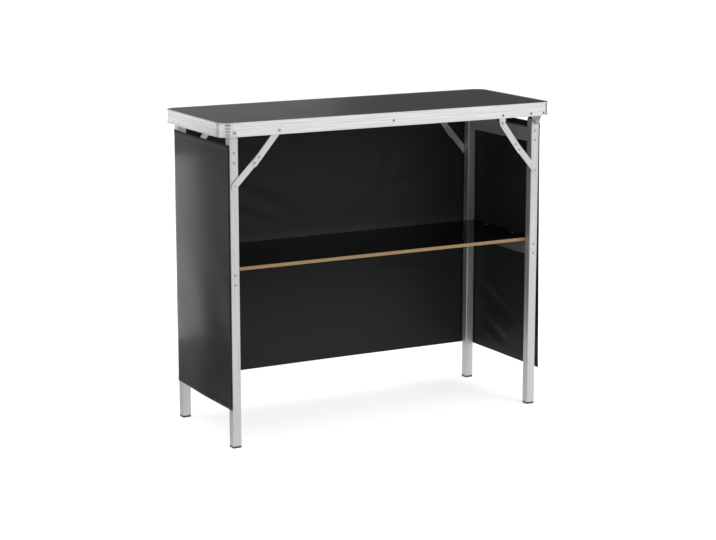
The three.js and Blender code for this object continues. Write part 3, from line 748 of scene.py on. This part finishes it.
class SkirtShape:
    """Where the cloth hangs: along the right side, round the back and along the left side, as distance
    run along its upper edge and level."""

    # Thickness of the CAD solid, whose inner face is where the cloth would hang flat.
    CAD_WALL = 1.0 * MM
    BACK_CORNER = 16 * MM
    # Folds per metre of run and of level, and where their noise is read: upright, then slanting ones.
    UPRIGHT = (5.2, 1.3, 3.7)
    SLANTING = (9.0, 3.0, 8.1)
    SLANT = 4.5
    # Both ends of a crease as run and level, its half width in millimetres, and its share of the depth.
    CREASES = (
        ((1270, 705), (930, 540), 34, 1.0),
        ((1200, 600), (1010, 520), 26, 0.6),
        ((700, 600), (500, 648), 30, 0.7),
        ((700, 400), (450, 370), 34, 0.7),
        ((930, 262), (560, 158), 36, 1.0),
        ((1080, 432), (950, 360), 28, 0.6),
        ((632, 780), (680, 540), 40, 0.7),
        ((345, 310), (120, 215), 32, 1.0),
        ((320, 205), (150, 140), 26, 0.7),
        ((185, 770), (250, 560), 34, 0.6),
    )

    def __init__(self, sizes):
        low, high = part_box("skirt")
        self.sizes = sizes
        self.top, self.bottom = high.z, low.z
        self.left, self.right = low.x + self.CAD_WALL, high.x - self.CAD_WALL
        self.front, self.back = low.y, high.y - self.CAD_WALL
        self.corner = self.BACK_CORNER
        self.side_run = self.back - self.corner - self.front
        self.bend_run = math.pi / 2 * self.corner
        self.back_run = self.right - self.left - 2 * self.corner
        self.width = 2 * self.side_run + 2 * self.bend_run + self.back_run

    def run_at(self, end, y):
        """Distance run at which a side panel passes a place along the depth."""
        run = y - self.front
        return run if end > 0 else self.width - run

    def plan(self, run):
        """Place and outward direction of the flat-hung cloth at a distance run."""
        parts = (self.side_run, self.bend_run, self.back_run, self.bend_run, self.side_run)
        part = 0
        while part < 4 and run > parts[part]:
            run -= parts[part]
            part += 1
        if part == 0:
            return Vector((self.right, self.front + run, 0)), Vector((1, 0, 0))
        if part == 2:
            return Vector((self.right - self.corner - run, self.back, 0)), Vector((0, 1, 0))
        if part == 4:
            return Vector((self.left, self.back - self.corner - run, 0)), Vector((-1, 0, 0))
        angle = run / self.corner + (0 if part == 1 else math.pi / 2)
        middle_x = self.right - self.corner if part == 1 else self.left + self.corner
        way = Vector((math.cos(angle), math.sin(angle), 0))
        return Vector((middle_x, self.back - self.corner, 0)) + self.corner * way, way

    def levels(self, step):
        """Rows of the cloth, with close pairs where the hems are turned."""
        apart, clear = 1 * MM, 2.5 * MM
        low, high = self.bottom + self.sizes.hem_width, self.top - self.sizes.hem_width
        turned = [low, low + apart, high - apart, high]
        rows = spaced(self.bottom, self.top, round((self.top - self.bottom) / step))
        return sorted([z for z in rows if all(abs(z - t) > clear for t in turned)] + turned)

    def stand_out(self, run, level):
        """How far the cloth stands out from where it would hang flat: never inwards."""
        sizes = self.sizes
        share = min(1.0, (level - self.bottom) / (self.top - self.bottom))
        out = sizes.tape_gap
        back_start = self.side_run + self.bend_run
        if run < self.side_run or run > self.width - self.side_run:
            across = min(run, self.width - run) / self.side_run
            out += sizes.side_belly * math.sin(math.pi * across) ** 2 * (1.15 - 0.5 * share)
        elif back_start < run < back_start + self.back_run:
            across = (run - back_start) / self.back_run
            out += sizes.back_belly * math.sin(math.pi * across) ** 1.5 * (1.2 - 0.6 * share)
        out += sizes.fold_depth * self.fold(run, level, share)
        out += sizes.crease_depth * self.crease(run, level)
        if run < self.side_run:
            out += sizes.flare * (1 - share) ** 1.6 * (1 - run / self.side_run) ** 1.5
        return out

    def fold(self, run, level, share):
        """Height of the soft folds at a place, which are deepest where the cloth hangs free."""
        per_run, per_level, seed = self.UPRIGHT
        upright = noise.noise(Vector((run * per_run, level * per_level, seed)))
        per_run, per_level, seed = self.SLANTING
        slanting = noise.noise(Vector((run * per_run + level * self.SLANT, level * per_level, seed)))
        free = 0.5 * math.sin(math.pi * share) + 0.6 * (1 - share)
        return free * max(0.0, 0.55 + upright + 0.5 * slanting) * 0.8

    def crease(self, run, level):
        """Height of the creases at a place, as a share of the deepest one."""
        here = Vector((run, level)) / MM
        height = 0.0
        for start, end, half, share in self.CREASES:
            line = Vector(end) - Vector(start)
            away = here - Vector(start)
            part = away.dot(line) / line.length_squared
            off = away.cross(line) / line.length / half
            if 0 < part < 1 and abs(off) < 1:
                height = max(height, share * (1 - off * off) ** 2 * math.sin(math.pi * part))
        return height

    def point(self, run, level, lift=0.0):
        """A point of the cloth's outer face, or one lifted off it."""
        place, way = self.plan(run)
        out = self.stand_out(run, level) + lift
        inset = self.sizes.hem_width
        if level <= self.bottom + inset or level >= self.top - inset:
            out += self.sizes.hem_rise
        place = place + way * out
        return (place.x, place.y, level)


class BAR_OT_hang_skirt(bpy.types.Operator):
    """Hang the three-sided cloth skirt, with its hems and fastening tapes"""

    bl_idname = "bar.hang_skirt"
    bl_label = "Hang skirt"

    def execute(self, context):
        sizes, finishes = context.scene.bar_sizes, context.scene.bar_finishes
        shape = SkirtShape(sizes)
        woven = material_once("woven_polyester", woven_cloth, tuple(finishes.cloth))
        thread = material_once("spun_thread", spun_thread, tuple(finishes.thread))
        looped = material_once("hook_and_loop_tape", loop_tape, tuple(finishes.cloth))
        cloth = self.weave(shape, sizes, woven)
        stitches = self.sew(shape, sizes, thread)
        tapes = self.add_tapes(shape, sizes, looped)
        for piece in (cloth, stitches, tapes):
            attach(piece, "skirt")
        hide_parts("skirt")
        return {"FINISHED"}

    def weave(self, shape, sizes, material):
        """The cloth, with its flat piece as UV map in metres."""
        columns = max(2, round(shape.width / sizes.cloth_step))
        rows = shape.levels(sizes.cloth_step)
        laid = [(run, level) for run in spaced(0.0, shape.width, columns) for level in rows]
        tall = len(rows)
        faces = []
        for i in range(columns):
            for a in range(i * tall, i * tall + tall - 1):
                faces.append((a, a + 1, a + tall + 1, a + tall))
        mesh = bpy.data.meshes.new("skirt_cloth")
        mesh.from_pydata([shape.point(run, level) for run, level in laid], [], faces)
        uv = mesh.uv_layers.new(name="cloth")
        for loop in mesh.loops:
            uv.data[loop.index].uv = laid[loop.vertex_index]
        mesh.materials.append(material)
        mesh.shade_smooth()
        cloth = link_object("skirt_cloth", mesh)
        thick = cloth.modifiers.new("thickness", "SOLIDIFY")
        thick.thickness = sizes.cloth_thickness
        # The faces look inwards, so this side is the one towards the legs.
        thick.offset = 1.0
        return cloth

    def sew(self, shape, sizes, material):
        """Lockstitch along both hems and both free edges, seen on both faces."""
        inset = sizes.hem_width - sizes.seam_inset
        edge = sizes.stitch_length
        low, high = shape.bottom + inset, shape.top - inset
        steps_along, steps_up = 240, 80
        runs = spaced(edge, shape.width - edge, steps_along)
        levels = spaced(low, high, steps_up)
        paths = [[(run, level) for run in runs] for level in (low, high)]
        paths += [[(run, level) for level in levels] for run in (inset, shape.width - inset)]
        points, edges = [], []
        for path in paths:
            for lift in (0.0, -sizes.cloth_thickness):
                first = len(points)
                points += [shape.point(run, level, lift) for run, level in path]
                edges += [(k, k + 1) for k in range(first, len(points) - 1)]
        mesh = bpy.data.meshes.new("skirt_stitch_paths")
        mesh.from_pydata(points, edges, [])
        values = {
            "Pitch": sizes.stitch_pitch,
            "Length": sizes.stitch_length,
            "Thread": sizes.thread_radius,
            "Material": material,
        }
        return grow("skirt_stitches", mesh, stitch_tree(), values, smooth_angle=60)

    def add_tapes(self, shape, sizes, material):
        """Hook-and-loop tapes between the cloth and the outer side of each leg."""
        middle_level = (shape.top + shape.bottom) / 2
        levels = (shape.top - sizes.high_tape, middle_level, shape.bottom + sizes.low_tape)
        probes = 8
        points, faces = [], []
        for leg in LEGS:
            low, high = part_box(f"leg_{leg}")
            end = ENDS[leg.split("_")[1]]
            inner = (high.x if end > 0 else low.x) + end * sizes.tape_clearance
            middle = (low.y + high.y) / 2
            y = (middle - sizes.tape_width / 2, middle + sizes.tape_width / 2)
            runs = [shape.run_at(end, place) for place in spaced(*y, probes)]
            for level in levels:
                z = (level - sizes.tape_length / 2, level + sizes.tape_length / 2)
                cloth = [shape.point(run, height) for run in runs for height in spaced(*z, probes)]
                outer = end * (min(end * place[0] for place in cloth) - sizes.tape_cover)
                first = len(points)
                points += [(a, b, c) for a in sorted((inner, outer)) for b in y for c in z]
                faces += [tuple(first + corner for corner in face) for face in BOX_FACES]
        mesh = bpy.data.meshes.new("skirt_tapes")
        mesh.from_pydata(points, [], faces)
        mesh.materials.append(material)
        return link_object("skirt_tapes", mesh)


class BAR_OT_set_rivets(bpy.types.Operator):
    """Set the dome rivets of legs and braces"""

    bl_idname = "bar.set_rivets"
    bl_label = "Set rivets"

    def execute(self, context):
        sizes = context.scene.bar_sizes
        head = (False, sizes.rivet_radius, sizes.rivet_height)
        for end in ENDS:
            spots = []
            for side, out in SIDES.items():
                leg = f"leg_{side}_{end}"
                x, face = node_middle(leg).x, outer_face(leg, out)
                for tube in (f"cross_tube_{end}", f"shelf_bearer_{end}"):
                    for step in (-sizes.rivet_step, sizes.rivet_step):
                        spots.append(((x, face, node_middle(tube).z + step), (0, out, 0)))
            fasteners(f"leg_rivets_{end}", spots, f"{end}_legs", *head)
            for side, out in SIDES.items():
                spots = self.knee_spots(side, out, end, sizes.knee_step)
                fasteners(f"knee_rivets_{side}_{end}", spots, f"brace_upper_{side}_{end}", *head)
        return {"FINISHED"}

    def knee_spots(self, side, out, end, step):
        """A rivet at the knee and one further on, near the outer strap's square end."""
        low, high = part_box(f"brace_lower_{side}_{end}")
        half = node_middle(f"brace_leg_pin_{side}_{end}").z - low.z
        knee = Vector((high.x - half if end == "left" else low.x + half, 0, high.z - half))
        pivot = node_middle(f"brace_rail_pin_{side}_{end}")
        along = Vector((knee.x - pivot.x, 0, knee.z - pivot.z)).normalized()
        face = outer_face(f"brace_upper_{side}_{end}", out)
        places = (knee, knee + along * step)
        return [((place.x, face, place.z), (0, out, 0)) for place in places]


class BAR_OT_drive_screws(bpy.types.Operator):
    """Drive the cross-head screws of rim and shelf"""

    bl_idname = "bar.drive_screws"
    bl_label = "Drive screws"

    def execute(self, context):
        sizes = context.scene.bar_sizes
        spots = [spot for side, out in SIDES.items() for spot in self.rim_spots(side, out, sizes)]
        fasteners("rim_screws", spots, "top", True, sizes.screw_radius, sizes.screw_height)
        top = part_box("shelf")[1].z
        spots = []
        for end in ENDS:
            x = node_middle(f"shelf_bearer_{end}").x
            for y in (-sizes.shelf_screw_step, sizes.shelf_screw_step):
                spots.append(((x, y, top), (0, 0, 1)))
        head = (True, sizes.shelf_screw_radius, sizes.shelf_screw_height)
        fasteners("shelf_screws", spots, "shelf", *head)
        return {"FINISHED"}

    def rim_spots(self, side, out, sizes):
        """Screws of a long rail: at its middle, at both right brackets, and round the right corner."""
        low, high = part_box(f"rail_{side}")
        level = low.z + sizes.screw_level
        face = outer_face(f"rail_{side}", out) - out * sizes.bead
        places = (
            (0, face, node_middle("centre_stiffener").z - sizes.screw_drop),
            (node_middle(f"brace_bracket_{side}_right").x, face, level),
            (node_middle(f"hinge_pin_{side}_right").x - sizes.hinge_step, face, level),
        )
        turn = sizes.corner_turn
        radius = CAD_BOX[1][0] - high.x - sizes.bead
        x = high.x + radius * math.sin(turn)
        y = face - out * radius * (1 - math.cos(turn))
        round_corner = ((x, y, level), (math.sin(turn), out * math.cos(turn), 0))
        return [*((place, (0, out, 0)) for place in places), round_corner]


class BAR_PT_tools(bpy.types.Panel):
    """The bar's pieces, finishes and stage"""

    bl_idname = "BAR_PT_tools"
    bl_label = "Folding Portable Bar"
    bl_space_type = "VIEW_3D"
    bl_region_type = "UI"
    bl_category = "Bar"

    def draw(self, context):
        for operator in OPERATORS:
            self.layout.operator(operator.bl_idname)
        for group in (getattr(context.scene, key) for key in GROUPS):
            box = self.layout.box()
            for key in group.bl_rna.properties.keys():
                if key not in ("rna_type", "name"):
                    box.prop(group, key)


OPERATORS = (
    BAR_OT_set_stage,
    BAR_OT_finish_frame,
    BAR_OT_hang_skirt,
    BAR_OT_set_rivets,
    BAR_OT_drive_screws,
)
GROUPS = {"bar_finishes": BarFinishes, "bar_sizes": BarSizes, "bar_stage": BarStage}


def register():
    for group in (*GROUPS.values(), *OPERATORS, BAR_PT_tools):
        bpy.utils.register_class(group)
    for key, group in GROUPS.items():
        setattr(bpy.types.Scene, key, PointerProperty(type=group))


def unregister():
    for key in GROUPS:
        delattr(bpy.types.Scene, key)
    for group in reversed((*GROUPS.values(), *OPERATORS, BAR_PT_tools)):
        bpy.utils.unregister_class(group)


def main():
    register()
    bpy.ops.bar.set_stage()
    bpy.ops.bar.finish_frame()
    bpy.ops.bar.hang_skirt()
    bpy.ops.bar.set_rivets()
    bpy.ops.bar.drive_screws()


if __name__ == "__main__":
    main()
